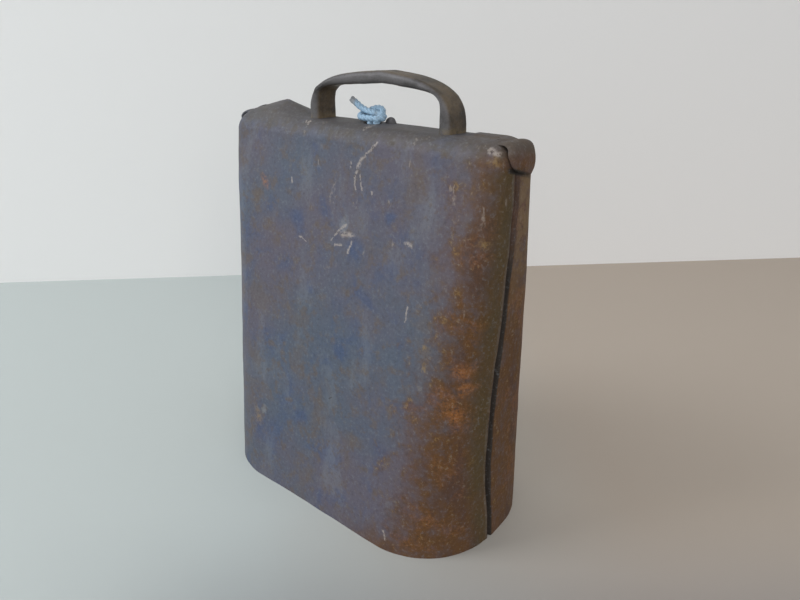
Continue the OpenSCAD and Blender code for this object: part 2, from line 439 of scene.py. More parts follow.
bell = {
    "mouthCentre": (46.5 * mm, 6.5 * mm),   # centre of a rounded corner of the mouth
    "mouthCorner": 44 * mm,
    "crownCentre": (78.5 * mm, 6.5 * mm),
    "foldRadius": 10 * mm,
    "foldCorner": 3 * mm,                   # plan radius left where the crown turns flat
    "lap": 14 * mm,
    "lapGap": 0.5 * mm,
    "groove": 1.9 * mm,                     # from the front panel's edge to the foot of the step
    "grooveTop": 0.6 * mm,                  # the same above grooveEnd
    "grooveEnd": 165 * mm,
    "stepRun": 1.5 * mm,                    # run of the step itself
    "seam": [(0, -9), (16, -10.4), (32, -13), (50, -14), (75, -13), (100, -11.2), (117, -9.4), (133, -8.3),
             (150, -7.2), (161, -5.8), (183, -4.3), (200, -4.5)],   # height and place along Y, mm
    "backSwell": 0.6 * mm,                  # how far the back panel stands proud beside the seams
    "dents": 0.75 * mm,
    "hammer": 0.16 * mm,
    "rowsUp": 106,
    "rowsFold": 12,
    "rowsFlat": 5,
    "columnsFlat": 70,
    "columnsEnd": 54,
    "drill": (4.75 * mm, 12 * mm),          # radius and length of the cord hole's drill
}
hump = {"start": -89 * mm, "peak": -57 * mm, "end": -36 * mm, "height": 7.6 * mm, "halfDepth": 17 * mm}


def seamPlace(z):
    heights, places = np.array(bell["seam"]).T * mm
    wobble = 0.35 * mm * np.sin(z / (9.5 * mm)) + 0.2 * mm * np.sin(z / (3.7 * mm) + 1)
    return np.interp(z, heights, places) + wobble * smooth(z / (15 * mm))


def grooveWidth(z):
    opening = smooth((bell["grooveEnd"] - z) / (25 * mm))
    return bell["grooveTop"] + (bell["groove"] - bell["grooveTop"]) * opening


def sectionAt(row):
    # corner centre, corner radius, height and flatness of a row, from the rim to the ridge
    up, fold, flat = bell["rowsUp"], bell["rowsFold"], bell["rowsFlat"]
    foldStart = crownTop - bell["foldRadius"]
    mouth, crown = np.array(bell["mouthCentre"]), np.array(bell["crownCentre"])
    if row <= up:
        t = row / up
        centre = mouth + (crown - mouth) * t
        return centre, bell["mouthCorner"] + (bell["foldRadius"] - bell["mouthCorner"]) * t, foldStart * t, 0
    angle = min(1, (row - up) / fold) * math.pi / 2
    inset = bell["foldCorner"] * (1 - math.cos(angle))
    radius = bell["foldCorner"] + (bell["foldRadius"] - bell["foldCorner"]) * math.cos(angle)
    height = foldStart + bell["foldRadius"] * math.sin(angle)
    return crown - inset, radius, height, max(0, (row - up - fold) / flat)


def ringPoint(run, centre, radius):
    # point at a run along the outline, from the middle of the front face towards +X
    cx, cy = centre
    sign = np.sign(run)
    run = np.abs(run)
    arc = radius * math.pi / 2
    first = np.clip((run - cx) / radius, 0, math.pi / 2)
    side = np.clip(run - cx - arc, 0, 2 * cy)
    second = np.clip((run - cx - arc - 2 * cy) / radius, 0, math.pi / 2)
    back = np.maximum(run - cx - 2 * arc - 2 * cy, 0)
    turned = first + second
    x = np.minimum(run, cx) + radius * np.sin(turned) - back
    y = -cy - radius * np.cos(turned) + side
    return x * sign, y


def runTo(y, centre, radius):
    # run along the outline at which it reaches a place along Y, on the front half or just past it
    cx, cy = centre
    arc = radius * math.pi / 2
    if y <= -cy:
        return cx + radius * math.acos(min(1, max(0, (-cy - y) / radius)))
    if y <= cy:
        return cx + arc + y + cy
    return cx + arc + 2 * cy + radius * math.asin(min(1, (y - cy) / radius))


def endRuns(front, centre, radius, height):
    # runs of the columns round one end, from the corner's start to the panel's free edge
    seam = seamPlace(min(height, crownTop - bell["foldRadius"]))
    count = bell["columnsEnd"]
    if front:
        edge = runTo(seam, centre, radius)
        t = np.linspace(0, 1, count + 1)[1:]
        return centre[0] + (edge - centre[0]) * (1 - (1 - t) ** 1.25)
    foot = seam + grooveWidth(height)
    stops = [runTo(-(foot + bell["stepRun"] + 2 * mm), centre, radius),
             runTo(-(foot - 0.8 * mm), centre, radius),
             runTo(-(seam - bell["lap"]), centre, radius)]
    shares = [count // 2, count // 3]
    shares.append(count - sum(shares))
    runs, last = [], centre[0]
    for stop, share in zip(stops, shares):
        runs.append(last + (stop - last) * np.linspace(0, 1, share + 1)[1:])
        last = stop
    return np.concatenate(runs)


def panelGrid(front):
    rows = bell["rowsUp"] + bell["rowsFold"] + bell["rowsFlat"] + 1
    half = bell["columnsFlat"] // 2
    grid, tucks = [], []
    for row in range(rows):
        centre, radius, height, flat = sectionAt(row)
        ends = endRuns(front, centre, radius, height)
        flatRuns = centre[0] * np.linspace(0, 1, half + 1)
        right = np.concatenate([flatRuns, ends])
        runs = np.concatenate([-right[:0:-1], right])
        x, y = ringPoint(runs, centre, radius)
        if not front:
            y = -y
        # keep the columns of the ends apart where the crown closes on its ridge
        spread = centre[0] + radius * np.linspace(0, 1, len(ends) + 1)[1:]
        ridge = np.concatenate([flatRuns, spread])
        x = x * (1 - flat) + np.concatenate([-ridge[:0:-1], ridge]) * flat
        grid.append(np.stack([x, y * (1 - flat), np.full_like(x, height)], 1))
        seam = seamPlace(min(height, crownTop - bell["foldRadius"]))
        atEnd = np.abs(x) > centre[0] * 0.8
        if front:
            lip = smooth(1 - (seam - y) / (3 * mm)) * 0.2 * mm
            tucks.append(np.where(atEnd, lip, 0))
        else:
            top = seam + grooveWidth(height) + bell["stepRun"]
            past = smooth((top - y) / bell["stepRun"])
            swell = bell["backSwell"] * smooth((y - top + 2 * mm) / (3 * mm))
            swell *= smooth((34 * mm - y) / (14 * mm))
            step = -(sheetThickness + bell["lapGap"]) * past + swell
            tucks.append(np.where(atEnd, step, 0))
    return np.array(grid), np.array(tucks)


def gridNormals(grid):
    up = np.gradient(grid, axis=0)
    across = np.gradient(grid, axis=1)
    normal = np.cross(across, up)
    size = np.linalg.norm(normal, axis=2, keepdims=True)
    return normal / np.maximum(size, 1e-12)


def humpRise(x, y):
    # straight slopes to a fairly sharp crest, falling away to both faces
    before = (x - hump["start"]) / (hump["peak"] - hump["start"])
    after = (hump["end"] - x) / (hump["end"] - hump["peak"])
    slope = np.clip(np.minimum(before, after), 0, 1)
    across = np.clip(1 - np.abs(y) / hump["halfDepth"], 0, 1)
    return hump["height"] * (0.75 * slope + 0.25 * smooth(slope)) * across


def buildPanel(front):
    grid, tucks = panelGrid(front)
    rows, columns = grid.shape[:2]
    normal = gridNormals(grid)
    normal *= 1 if front else -1
    # the rows of the flat crown face straight up
    crownRows = slice(bell["rowsUp"] + bell["rowsFold"], None)
    normal[crownRows] = (0, 0, 1)
    flatPoints = grid.reshape(-1, 3)
    dents, hammer = bell["dents"], bell["hammer"]
    swell = dents * lumps(flatPoints, 62 * mm, 1) + 0.3 * dents * lumps(flatPoints, 24 * mm, 2)
    swell += hammer * lumps(flatPoints, 9 * mm, 3) + 0.4 * hammer * lumps(flatPoints, 4 * mm, 4)
    swell = swell.reshape(rows, columns)
    onTop = smooth((grid[..., 2] - (crownTop - 0.5 * mm)) / (0.4 * mm))
    swell *= 1 - 0.6 * onTop
    sides = normal.copy()
    sides[..., 2] *= smooth(grid[..., 2] / (12 * mm))
    outer = grid + sides * (swell + tucks)[..., None]
    rise = smooth((grid[..., 2] - (crownTop - 11 * mm)) / (10.5 * mm))
    outer[..., 2] += humpRise(grid[..., 0], grid[..., 1]) * rise
    outer[0, :, 2] = 0
    thick = gridNormals(outer)
    thick *= 1 if front else -1
    outer[-1, :, 1] = 0
    thick[crownRows] = (0, 0, 1)
    thick[0, :, 2] = 0
    inner = outer - thick * sheetThickness
    inner[0, :, 2] = 0
    return outer, inner


def panelFaces(outer, base, front):
    rows, columns = outer.shape[:2]
    inside = base + rows * columns
    faces = gridFaces(rows, columns, base, flip=not front)
    faces += gridFaces(rows, columns, inside, flip=front)
    for j in range(columns - 1):
        faces.append([base + j, base + j + 1, inside + j + 1, inside + j])
    for i in range(rows - 1):
        for j in (0, columns - 1):
            a, b = base + i * columns + j, base + (i + 1) * columns + j
            c, d = inside + (i + 1) * columns + j, inside + i * columns + j
            faces.append([a, b, c, d])
    return faces


def makeSheet():
    verts, faces = [], []
    ridge = None
    for front in (True, False):
        outer, inner = buildPanel(front)
        if ridge is None:
            ridge = (outer[-1].copy(), inner[-1].copy())
        else:
            outer[-1], inner[-1] = ridge
        faces += panelFaces(outer, len(verts), front)
        verts += list(outer.reshape(-1, 3)) + list(inner.reshape(-1, 3))
    return meshPiece("sheet", verts, faces, merge=0.005 * mm)


def cutRound(piece, centre, radius, depth):
    drill = bmesh.new()
    bmesh.ops.create_cone(drill, cap_ends=True, segments=40, radius1=radius, radius2=radius, depth=depth,
                          matrix=Matrix.Translation(centre))
    mesh = bpy.data.meshes.new("drill")
    drill.to_mesh(mesh)
    drill.free()
    tool = placed("drill", mesh)
    cut = piece.modifiers.new("cut", "BOOLEAN")
    cut.operation = "DIFFERENCE"
    cut.solver = "EXACT"
    cut.object = tool
    ready = piece.evaluated_get(bpy.context.evaluated_depsgraph_get())
    piece.data = bpy.data.meshes.new_from_object(ready)
    piece.modifiers.remove(cut)
    bpy.data.objects.remove(tool)


ear = {
    # along the tongue: x, z, half width, half thickness, in mm from the crown's end and top
    "stations": [(-18, -3.2, 7, 0.4), (-13, -2.4, 7.4, 0.9), (-8, -1.6, 8, 1.2), (-3, -0.9, 8.8, 1.2),
                 (0.2, -2.2, 9.6, 1.2), (1.6, -5.4, 10.2, 1.3), (1.7, -8.8, 9.8, 1.4), (1.5, -11.2, 8.8, 1.4),
                 (1.5, -12.6, 7.8, 1.2), (1.4, -13.3, 6.6, 0.6)],
    "flat": 7.5 * mm,       # beyond this distance from the middle it bends round the end of the bell
    "bend": 6 * mm,
    "droop": 9 * mm,        # the same over the crown, where it bends down
    "slope": 0.28,          # how much its lower edge falls towards the back
    "aside": {1: -0.6 * mm, -1: 3 * mm},    # from the middle of each end; the left one sits to the back
    "sides": 44,
    "between": 5,
    "squareness": 3.2,
    "unevenness": 0.4 * mm,
}


def makeEar(end):
    stations = smoothStations(np.array(ear["stations"]), ear["between"])
    tip = crownTop
    edge = bell["crownCentre"][0] + bell["foldRadius"]
    centre = np.stack([edge + stations[:, 0] * mm, np.zeros(len(stations)), tip + stations[:, 1] * mm], 1)
    along = np.gradient(centre, axis=0)
    along /= np.linalg.norm(along, axis=1, keepdims=True)
    out = np.stack([-along[:, 2], np.zeros(len(stations)), along[:, 0]], 1)
    verts = []
    for k in range(len(stations)):
        for angle in np.linspace(0, math.tau, ear["sides"], endpoint=False):
            c, s = math.cos(angle), math.sin(angle)
            power = 2 / ear["squareness"]
            wide = math.copysign(abs(c) ** power, c) * stations[k, 2] * mm
            thick = math.copysign(abs(s) ** power, s) * stations[k, 3] * mm
            verts.append(centre[k] + np.array((0, wide, 0)) + out[k] * thick)
    verts = np.array(verts)
    push = lumps(verts, 8 * mm, 5 + end) * ear["unevenness"] + lumps(verts, 3.4 * mm, 6 + end) * 0.12 * mm
    verts += np.repeat(out, ear["sides"], axis=0) * push[:, None]
    verts[:, 2] -= ear["slope"] * verts[:, 1] * smooth((tip - verts[:, 2]) / (9 * mm))
    verts[:, 1] += lumps(verts, 14 * mm, 8 + end) * 0.9 * mm + ear["aside"][end]
    over = np.clip(np.abs(verts[:, 1]) - ear["flat"], 0, None) ** 2
    verts[:, 2] -= over / ear["droop"] * smooth((verts[:, 2] - tip + 8 * mm) / (6 * mm))
    verts[:, 0] -= over / ear["bend"]
    verts[:, 0] *= end
    rows = len(stations)
    faces = gridFaces(rows, ear["sides"], closed=True)
    first = [centre[0][0] * end, ear["aside"][end], centre[0][2]]
    last = verts[-ear["sides"]:].mean(0) - np.array((0, 0, 0.4 * mm))
    verts = list(verts) + [first, last]
    for j in range(ear["sides"]):
        k = (j + 1) % ear["sides"]
        top = (rows - 1) * ear["sides"]
        faces.append([k, j, len(verts) - 2])
        faces.append([top + j, top + k, len(verts) - 1])
    return meshPiece("ear", verts, faces, sharp=60)


def smoothStations(table, between):
    # rows of a table with smooth rows added between them
    count = len(table)
    spots = np.linspace(0, count - 1, (count - 1) * between + 1)
    out = []
    for s in spots:
        i = min(int(s), count - 2)
        t = s - i
        p0, p1, p2, p3 = table[max(i - 1, 0)], table[i], table[i + 1], table[min(i + 2, count - 1)]
        out.append(0.5 * (2 * p1 + (p2 - p0) * t + (2 * p0 - 5 * p1 + 4 * p2 - p3) * t * t
                          + (3 * p1 - p0 - 3 * p2 + p3) * t ** 3))
    return np.array(out)


def makeLump(name, centre, size, seed, sides=28, rings=16, rough=0.12):
    verts = []
    for i in range(rings + 1):
        tilt = math.pi * i / rings
        for j in range(sides):
            turn = math.tau * j / sides
            verts.append((math.sin(tilt) * math.cos(turn), math.sin(tilt) * math.sin(turn), math.cos(tilt)))
    verts = np.array(verts)
    verts *= (1 + rough * lumps(verts * mm, 0.7 * mm, seed))[:, None]
    verts = np.array(centre) + verts * np.array(size)
    return meshPiece(name, verts, gridFaces(rings + 1, sides, closed=True), sharp=80)


burr = {"fromHole": 7.8 * mm, "behind": 5 * mm, "size": (3.2 * mm, 2.2 * mm, 3.8 * mm)}


def makeBell(finish):
    sheet = makeSheet()
    cutRound(sheet, cordHole, *bell["drill"])
    lip = makeLump("lip", cordHole + Vector((burr["fromHole"], burr["behind"], -0.6 * mm)), burr["size"], 9)
    piece = joined("bell_body", [sheet, makeEar(1), makeEar(-1), lip])
    piece.data.materials.clear()
    piece.data.materials.append(finish)
    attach(piece, "bell")
    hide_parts("bell_shell")
    print("bell", len(piece.data.polygons), "faces")


# ---- handle: a forged strap bent to an arch, its feet riveted through the crown

handle = {
    "middle": (handleLow.x + handleHigh.x) / 2,
    "halfWidth": (handleHigh.x - handleLow.x) / 2,
    "height": handleHigh.z - crownTop,
    "thickness": 6 * mm,
    "topThickness": 5.6 * mm,
    "footThickness": 6.4 * mm,
    "turn": 0.1,            # how far it slants towards +X for each metre towards its back
    "roof": 3 * mm,         # how much the strap falls away from its highest place towards its shoulders
    "roofPeak": 4 * mm,
    "strapWidth": handleHigh.y - handleLow.y + 0.4 * mm,
    "outerPower": 3.2,
    "innerPower": 8,
    "steps": 130,
    "samples": 1200,        # points of the arch before they are spaced evenly
    "around": 52,
    "corner": 2.4 * mm,     # rounding of the strap's long edges
    "footDepth": 0.8 * mm,
}


def archPoint(angle, halfWidth, height, power):
    c, s = math.cos(angle), math.sin(angle)
    return np.array((math.copysign(abs(c) ** (2 / power), c) * halfWidth, abs(s) ** (2 / power) * height))


def archLine(halfWidth, height, power):
    # evenly spaced points of an arch from its left foot to its right one
    angles = np.linspace(math.pi, 0, handle["samples"])
    points = np.array([archPoint(a, halfWidth, height, power) for a in angles])
    run = runAlong(points)
    line = pointsAt(np.linspace(0, run[-1], handle["steps"] + 1), run, points)
    line[:, 1] -= handle["roof"] * np.abs(line[:, 0] - handle["roofPeak"]) / halfWidth * line[:, 1] / height
    line[[0, -1], 1] = -handle["footDepth"]
    return line


def roundedRing(half, other, corner, count):
    # evenly spaced points round a rectangle with rounded corners
    points = []
    for turn, (sx, sy) in enumerate(((1, 1), (-1, 1), (-1, -1), (1, -1))):
        for a in np.linspace(0, math.pi / 2, 8) + turn * math.pi / 2:
            points.append((sx * (half - corner) + corner * math.cos(a),
                           sy * (other - corner) + corner * math.sin(a)))
    points = np.array(points + points[:1])
    run = runAlong(points)
    return pointsAt(np.linspace(0, run[-1], count, endpoint=False), run, points)


def makeHandle(finish):
    steps, around = handle["steps"], handle["around"]
    outer = archLine(handle["halfWidth"], handle["height"], handle["outerPower"])
    inner = archLine(handle["halfWidth"] - handle["footThickness"],
                     handle["height"] - handle["topThickness"], handle["innerPower"])
    verts = []
    for i in range(steps + 1):
        centre, reach = (outer[i] + inner[i]) / 2, (outer[i] - inner[i]) / 2
        thick = np.linalg.norm(reach)
        for wide, out in roundedRing(handle["strapWidth"] / 2, thick, handle["corner"], around):
            spot = centre + reach / thick * out
            verts.append((handle["middle"] + spot[0] + wide * handle["turn"], wide, crownTop + spot[1]))
    verts = np.array(verts)
    axis = np.repeat(verts.reshape(steps + 1, around, 3).mean(1), around, axis=0)
    out = verts - axis
    out /= np.linalg.norm(out, axis=1, keepdims=True)
    push = 0.34 * mm * lumps(verts, 17 * mm, 21) + 0.22 * mm * lumps(verts, 6 * mm, 22)
    push += 0.08 * mm * lumps(verts, 2.2 * mm, 23)
    verts += out * (push - 0.05 * mm)[:, None]
    faces = gridFaces(steps + 1, around, closed=True)
    faces.append(list(range(around))[::-1])
    faces.append([steps * around + k for k in range(around)])
    strap = meshPiece("strap", verts, faces, sharp=60)
    parts = [strap]
    foot = handle["halfWidth"] - handle["thickness"] / 2
    peen = washerLow.z
    for end in (-1, 1):
        x = handle["middle"] + end * foot
        middle = (x, 0, (peen + crownTop) / 2)
        parts.append(roundedBlock("tenon", middle, (3.4 * mm, 8 * mm, 5 * mm), 31 + end))
        parts.append(makeLump("peen", (x, 0, peen - 0.3 * mm), (3.5 * mm, 5.8 * mm, 1.7 * mm), 34 + end))
    piece = joined("strap_handle", parts)
    piece.data.materials.clear()
    piece.data.materials.append(finish)
    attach(piece, "bell")
    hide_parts("handle")


def roundedBlock(name, centre, size, seed, edge=0.5 * mm, uneven=0.12 * mm):
    work = bmesh.new()
    bmesh.ops.create_cube(work, size=1)
    bmesh.ops.scale(work, vec=size, verts=work.verts)
    bmesh.ops.subdivide_edges(work, edges=work.edges, cuts=5, use_grid_fill=True)
    corners = [e for e in work.edges if len(e.link_faces) == 2 and e.calc_face_angle() > 1]
    bmesh.ops.bevel(work, geom=corners, offset=edge, segments=3, affect="EDGES", profile=0.5)
    for v in work.verts:
        v.co += v.co.normalized() * uneven * noise.noise(v.co / (4 * mm) + Vector((seed, 0, 0)))
        v.co += Vector(centre)
    mesh = bpy.data.meshes.new(name)
    work.to_mesh(mesh)
    work.free()
    mesh.shade_smooth()
    mesh.set_sharp_from_angle(angle=math.radians(40))
    return placed(name, mesh)


def makeWashers(finish):
    for name in ("handle_washer_left", "handle_washer_right"):
        low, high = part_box(name)
        piece = roundedBlock(name + "_forged", (low + high) / 2, high - low, 40 + low.x, 0.4 * mm)
        piece.data.materials.append(finish)
        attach(piece, "bell")
        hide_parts(name)


# ---- clapper: a rod bent to an eye, and a ball riveted on its lower end

clapper = {
    "rod": 3.6 * mm,
    "eyeRadius": 8.6 * mm,
    "eyeEnd": 262,          # degrees that the eye turns before its end lies on the rod
    "neckLength": 9 * mm,   # where the rod leans over to the eye
    "neckRise": 8.6 * mm,
    "neckLean": 0.9 * mm,
    "rodRows": 46,
    "neckRows": 8,
    "eyeRows": 50,
    "sides": 20,
    "ballUneven": 0.5 * mm,
}


def sweep(name, points, radii, sides, seed, uneven):
    tangents = np.gradient(points, axis=0)
    tangents /= np.linalg.norm(tangents, axis=1, keepdims=True)
    side = np.array((1.0, 0, 0))        # the rod bends in the YZ plane
    verts = []
    for p, t, r in zip(points, tangents, radii):
        other = np.cross(t, side)
        for k in range(sides):
            turn = math.tau * k / sides
            verts.append(p + r * (math.cos(turn) * side + math.sin(turn) * other))
    verts = np.array(verts)
    out = verts - np.repeat(points, sides, axis=0)
    out /= np.linalg.norm(out, axis=1, keepdims=True)
    verts += out * (uneven * (lumps(verts, 5 * mm, seed) - 0.4))[:, None]
    faces = gridFaces(len(points), sides, closed=True)
    faces.append(list(range(sides))[::-1])
    faces.append([(len(points) - 1) * sides + k for k in range(sides)])
    return meshPiece(name, verts, faces, sharp=60)


def makeClapper(finish):
    ball = (ballLow + ballHigh) / 2
    radius = (ballHigh.x - ballLow.x) / 2
    bend = clapper["eyeRadius"]
    ringCentre = eyeBar - Vector((0, 0, bend))
    neck = ringCentre.z - bend - clapper["neckLength"]
    points = [(ball.x, 0, z) for z in np.linspace(eyeLow.z, neck, clapper["rodRows"])]
    for t in np.linspace(0, 1, clapper["neckRows"])[1:]:
        points.append((ball.x, clapper["neckLean"] * t, neck + clapper["neckRise"] * t))
    for angle in np.radians(np.linspace(-70, clapper["eyeEnd"], clapper["eyeRows"])):
        points.append((ball.x, bend * math.cos(angle), ringCentre.z + bend * math.sin(angle)))
    points = np.array(points)
    thick = np.full(len(points), clapper["rod"])
    thick[:3] = clapper["rod"] * np.array((1.16, 1.22, 1.1))
    thick[-6:] *= np.linspace(1, 0.62, 6)
    shank = sweep("clapper_rod", points, thick, clapper["sides"], 51, 0.3 * mm)
    head = makeLump("clapper_bob", ball, (radius, radius, radius), 53, sides=72, rings=48, rough=0.0)
    mesh = head.data
    co = np.array([v.co for v in mesh.vertices])
    push = lumps(co, 9 * mm, 54) * clapper["ballUneven"] + lumps(co, 3.5 * mm, 55) * 0.15 * mm
    out = (co - np.array(ball)) / radius
    co += out * (push - 0.35 * mm)[:, None]
    mesh.vertices.foreach_set("co", co.ravel())
    for piece, node in ((shank, "clapper_shank"), (head, "clapper_ball")):
        piece.data.materials.append(finish)
        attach(piece, "clapper")
        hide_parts(node)


# ---- finishes

patina = {
    "slate": (0.072, 0.088, 0.12),
    "violet": (0.092, 0.082, 0.106),
    "cobalt": (0.04, 0.068, 0.145),
    "pale": (0.19, 0.2, 0.21),
    "earth": (0.11, 0.08, 0.058),
    "brown": (0.1, 0.044, 0.012),
    "plum": (0.062, 0.034, 0.03),
    "orange": (0.34, 0.12, 0.02),
    "ochre": (0.26, 0.16, 0.05),
    "olive": (0.06, 0.045, 0.016),
    "tan": (0.2, 0.14, 0.08),
    "crown": (0.072, 0.062, 0.052),
    "dark": (0.022, 0.018, 0.015),
    "bare": (0.35, 0.3, 0.265),
    "rustStart": 40 * mm,       # rust grows from here towards +X
    "rustFull": 80 * mm,
}
# pale scratches on the front face: x, z to x, z and width, in mm
scratches = [(21, 204, 16.6, 199.6, 0.8), (16.6, 199.6, 12, 195.4, 0.9), (12, 195.4, 9.6, 191, 1.1),
             (9.6, 191, 8.4, 186, 0.8), (8.4, 186, 10, 181, 0.6), (12, 188, 13.8, 181, 0.5),
             (5, 162.6, -0.4, 157.8, 0.9), (-0.4, 157.8, -4.2, 153, 0.5), (3, 157.6, 9.6, 158.6, 1.7),
             (-1, 151.2, 3.2, 152, 0.8), (8, 149, 10, 155, 0.8), (52.6, 6.4, 51, 11, 0.8),
             (-36.4, 180, -35.8, 177.6, 0.7), (20.2, 181.4, 20.6, 178.8, 0.7), (5, 193.6, 5.4, 191, 0.7),
             (9, 209.4, 11.6, 210.6, 1.0), (-33, 209, -29, 208.4, 0.6), (80.5, 207, 84, 205.4, 1.2),
             (-28, 151, -22, 149, 0.4), (49, 131, 48.6, 124, 0.5), (44, 161, 47.4, 160.4, 1.2)]
# small patches on the front face: x, z, reach in mm and colour
patches = [(80, 106, 5.5, "orange"), (82.5, 97, 4, "orange"), (83.5, 168.5, 3, "ochre"),
           (79, 86, 4, "orange"), (-57.3, 174.4, 4, "orange"), (-51.7, 38.7, 5, "ochre"),
           (-46, 44, 3, "pale"), (33, 170, 5, "cobalt"), (9, 97, 8, "cobalt"),
           (-17, 48, 9, "cobalt"), (12, 150, 9, "cobalt"), (4, 163, 5, "pale"),
           (3.4, 67, 1.3, "dark"), (62, 112, 2.4, "ochre"), (63, 103, 2, "ochre"), (62, 93, 1.8, "pale"),
           (84, 203, 3, "ochre"), (-30, 160, 8, "cobalt")]


def scratchMask(b, x, z):
    total = None
    for x0, z0, x1, z1, width in scratches:
        x0, z0, x1, z1, width = (v * mm for v in (x0, z0, x1, z1, width))
        dx, dz = x1 - x0, z1 - z0
        length = dx * dx + dz * dz
        t = ((x - x0) * (dx / length) + (z - z0) * (dz / length)).most(0.0).least(1.0)
        away = ((x - x0 - t * dx) ** 2 + (z - z0 - t * dz) ** 2) ** 0.5
        mark = away.step(width * 1.25, 0.0)
        total = mark if total is None else total.most(mark)
    return total * b.y.step(-4 * mm, -9 * mm)


def patinaIron():
    p = patina
    b = Bench("patinaIron")
    broad = b.noise(14, 4, 0.55)
    cloud = b.noise(42, 6, 0.62, distortion=0.5)
    streak = b.noise(60, 5, 0.6, b.stretched(1, 1, 0.35))
    mottle = b.noise(150, 6, 0.68)
    speck = b.noise(560, 4, 0.72)
    grain = b.noise(1700, 3, 0.7)
    front = b.y.step(0.0, -8 * mm)
    wobbleX = b.x + (b.noise(330, 3, 0.6) - 0.5) * 0.003
    wobbleZ = b.z + (b.noise(370, 3, 0.6) - 0.5) * 0.003
    # blue-grey skin of old iron
    tone = b.mix(broad.step(0.36, 0.64), p["slate"], p["violet"])
    tone = b.mix(cloud.step(0.5, 0.66) * 0.5, tone, p["cobalt"])
    tone = b.mix(streak.step(0.5, 0.72) * 0.3, tone, p["pale"])
    tone = b.mix(mottle.step(0.5, 0.66) * 0.6, tone, p["earth"])
    tone = b.mix(cloud.step(0.46, 0.34) * 0.4, tone, p["earth"])
    placeX = b.x + (mottle - 0.5) * 0.012
    placeZ = b.z + (cloud - 0.5) * 0.02
    for x, z, reach, colour in patches:
        if colour not in ("orange", "ochre"):
            away = ((placeX - x * mm) ** 2 + (placeZ - z * mm) ** 2) ** 0.5
            tone = b.mix(away.step(reach * mm, reach * 0.2 * mm) * front * 0.6, tone, p[colour])
    # rust towards the right end, and along the rim there
    shift = (cloud - 0.5) * 0.06 + (mottle - 0.5) * 0.03
    lean = b.z * 0.09
    toRight = (b.x + shift - lean + 4 * mm).step(p["rustStart"], p["rustFull"])
    toRim = (b.z + (cloud - 0.5) * 0.04).step(14 * mm, 1 * mm) * b.x.step(10 * mm, 60 * mm)
    rust = toRight.most(toRim)
    tone = b.mix(rust * (mottle.step(0.3, 0.56) * 0.3 + 0.68), tone, p["brown"])
    tone = b.mix(rust * streak.step(0.48, 0.62) * 0.55, tone, p["plum"])
    fiery = rust * rust * cloud.step(0.5, 0.7) * speck.step(0.36, 0.6)
    tone = b.mix(fiery * 0.3, tone, p["orange"])
    fleck = (mottle * 0.6 + speck * 0.4).step(0.56, 0.66) * rust.step(0.05, 0.4)
    tone = b.mix(fleck * 0.45, tone, p["ochre"])
    for x, z, reach, colour in patches:
        if colour in ("orange", "ochre"):
            away = ((placeX - x * mm) ** 2 + (placeZ - z * mm) ** 2) ** 0.5
            glow = away.step(reach * 1.2 * mm, reach * 0.1 * mm) * front * speck.step(0.3, 0.6)
            tone = b.mix(glow * 0.6, tone, p[colour])
    # crown, browner and duller
    crown = (b.z + (mottle - 0.5) * 0.02).step(crownTop - 9 * mm, crownTop - 1 * mm)
    tone = b.mix(crown * 0.75, tone, p["crown"])
    # beside the seams: a dull olive strip, a painted highlight along the front panel's edge, and painted
    # shade with some dirt in the groove
    low = -16 * mm
    points = [(z * mm / crownTop, y * mm - low) for z, y in bell["seam"]]
    seam = b.curve(b.z / crownTop, points, low)
    past = b.y - seam
    ends = (b.x * b.x).step((66 * mm) ** 2, (80 * mm) ** 2) * b.z.step(crownTop - 8 * mm, crownTop - 14 * mm)
    upper = b.z.step(110 * mm, 190 * mm) * past.step(3 * mm, 6 * mm) * ends * mottle.step(0.35, 0.55)
    tone = b.mix(upper * 0.6, tone, p["tan"])
    strip = past.step(-15 * mm, -5 * mm) * past.step(0.0, -0.8 * mm) * ends
    tone = b.mix(strip * (cloud.step(0.3, 0.6) * 0.35 + 0.4), tone, p["olive"])
    # painted highlight: a pale line along the front panel's rounded edge
    lip = past.step(-2.2 * mm, -1 * mm) * past.step(0.2 * mm, -0.3 * mm) * ends
    tone = b.mix(lip * mottle.step(0.4, 0.6) * 0.18, tone, p["pale"])
    # painted shade with some dirt: a dark line in the groove, strongest where the groove is wide below
    # grooveEnd
    deepGrooveShade = b.z.step(bell["grooveEnd"] + 4 * mm, bell["grooveEnd"] - 14 * mm, 0.35, 1.0)
    groove = past.step(-0.5 * mm, 0.1 * mm) * past.step(4.2 * mm, 3.3 * mm) * ends * deepGrooveShade
    tone = b.mix(groove * 0.94, tone, p["dark"])
    # painted shade in the crease under the ears, darker towards the front
    under = b.z + b.y * ear["slope"] - (crownTop - 13.8 * mm)
    creaseShade = (under * under).step((1.5 * mm) ** 2, 0.0) * (b.y * b.y).step((10.5 * mm) ** 2, (8 * mm) ** 2)
    creaseShade = creaseShade * (b.x * b.x).step((84 * mm) ** 2, (86 * mm) ** 2)
    tone = b.mix(creaseShade * b.y.step(6 * mm, -3 * mm, 0.45, 0.95), tone, p["dark"])
